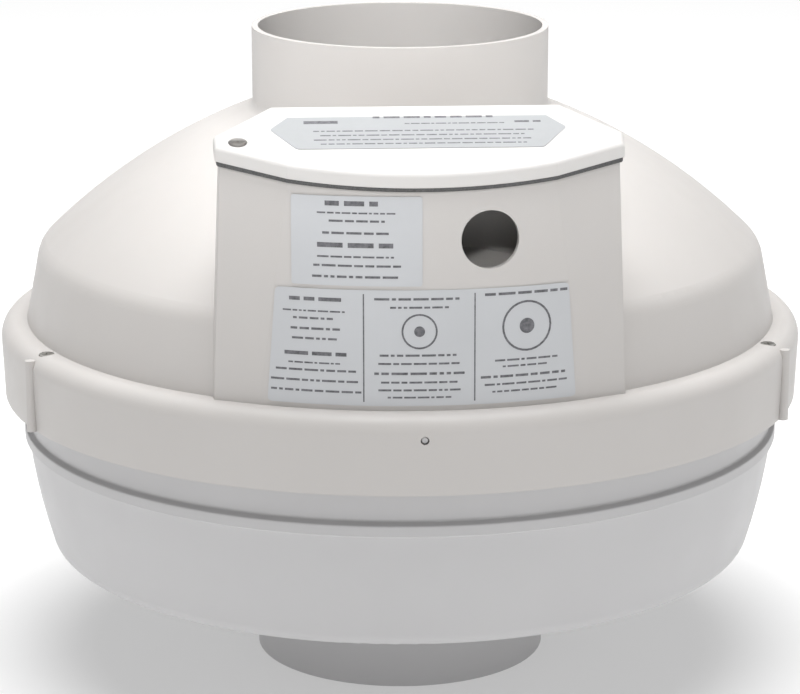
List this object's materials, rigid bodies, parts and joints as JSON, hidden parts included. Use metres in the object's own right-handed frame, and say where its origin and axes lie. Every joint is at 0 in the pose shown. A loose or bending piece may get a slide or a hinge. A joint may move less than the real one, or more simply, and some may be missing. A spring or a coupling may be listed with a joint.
{
  "type": "inline duct fan",
  "caption": "Inline duct fan with a domed plastic casing, two round duct spigots, a side terminal box and an impeller on an external-rotor motor.",
  "frame": {"origin": "centre of the inlet spigot's rim, the fan's lowest face", "axes": "+Z along the air flow and the rotor's axis, towards the outlet spigot; the terminal box is on -Y; +X to the right seen from the box's side"},
  "size_m": [0.3382, 0.3382, 0.2706],
  "materials": {
    "upper_plastic": "moulded, satin, warm off-white",
    "lid_plastic": "moulded, satin, warm off-white",
    "lower_plastic": "moulded, satin, off-white",
    "label_film": null,
    "grey_foam": "closed-cell foam",
    "black_rubber": "matt",
    "zinc_steel": "zinc plated",
    "lid_screw_steel": "zinc plated, slightly dull",
    "brass_plated": "nickel-free brass",
    "green_screw": "green dyed head",
    "galvanised": "galvanised sheet",
    "grey_plastic": "glass-filled",
    "black_plastic": "glass-filled",
    "capacitor_case": "plain case",
    "block_plastic": "polyamide",
    "cable_sheath": "PVC",
    "brown_wire": "PVC",
    "blue_wire": "PVC",
    "green_wire": "PVC",
    "cast_aluminium": "die-cast",
    "lamination": "stacked sheet steel",
    "copper_wire": "varnished copper",
    "bearing_steel": "ground",
    "can_steel": "black paint"
  },
  "bodies": {
    "casing": {"bracket_screws": "zinc_steel", "cable_grommet": "black_rubber", "capacitor": "capacitor_case", "capacitor_clips": "galvanised", "capacitor_lead": "blue_wire", "casing_gasket": "grey_foam", "casing_screws": "zinc_steel", "caution_label": "label_film", "clamp_screws": "brass_plated", "clip_screws": "zinc_steel", "danger_label": "label_film", "earth_lead": "green_wire", "earth_screw": "green_screw", "earth_washer": "brass_plated", "hub_cap": "grey_plastic", "inlet_ring": "galvanised", "inlet_ring_screws": "zinc_steel", "lid_gasket": "grey_foam", "lid_screw": "lid_screw_steel", "live_lead": "brown_wire", "lower_bearing_outer_ring": "bearing_steel", "lower_casing": "lower_plastic", "motor_base": "cast_aluminium", "motor_bracket": "grey_plastic", "motor_cable": "cable_sheath", "motor_screws": "zinc_steel", "neutral_lead": "blue_wire", "preload_washer": "bearing_steel", "rating_label": "label_film", "stator_core": "lamination", "stator_windings": "copper_wire", "terminal_block": "block_plastic", "terminal_block_screws": "zinc_steel", "terminal_box_lid": "lid_plastic", "upper_bearing_outer_ring": "bearing_steel", "upper_casing": "upper_plastic"},
    "rotor": {"rotor_can": "can_steel", "rotor_ring": "cast_aluminium", "shaft": "bearing_steel", "shaft_spacer": "bearing_steel", "retaining_ring": "bearing_steel", "lower_bearing_inner_ring": "bearing_steel", "upper_bearing_inner_ring": "bearing_steel", "bearing_balls": "bearing_steel", "impeller": "black_plastic", "impeller_shroud": "black_plastic", "impeller_screws": "zinc_steel", "balance_weights": "zinc_steel"}
  },
  "joints": [
    {"name": "rotor_spin", "type": "hinge", "parent": "casing", "child": "rotor", "pos_m": [0, 0, 0.1255], "axis": [0, 0, 1], "continuous": true}
  ]
}
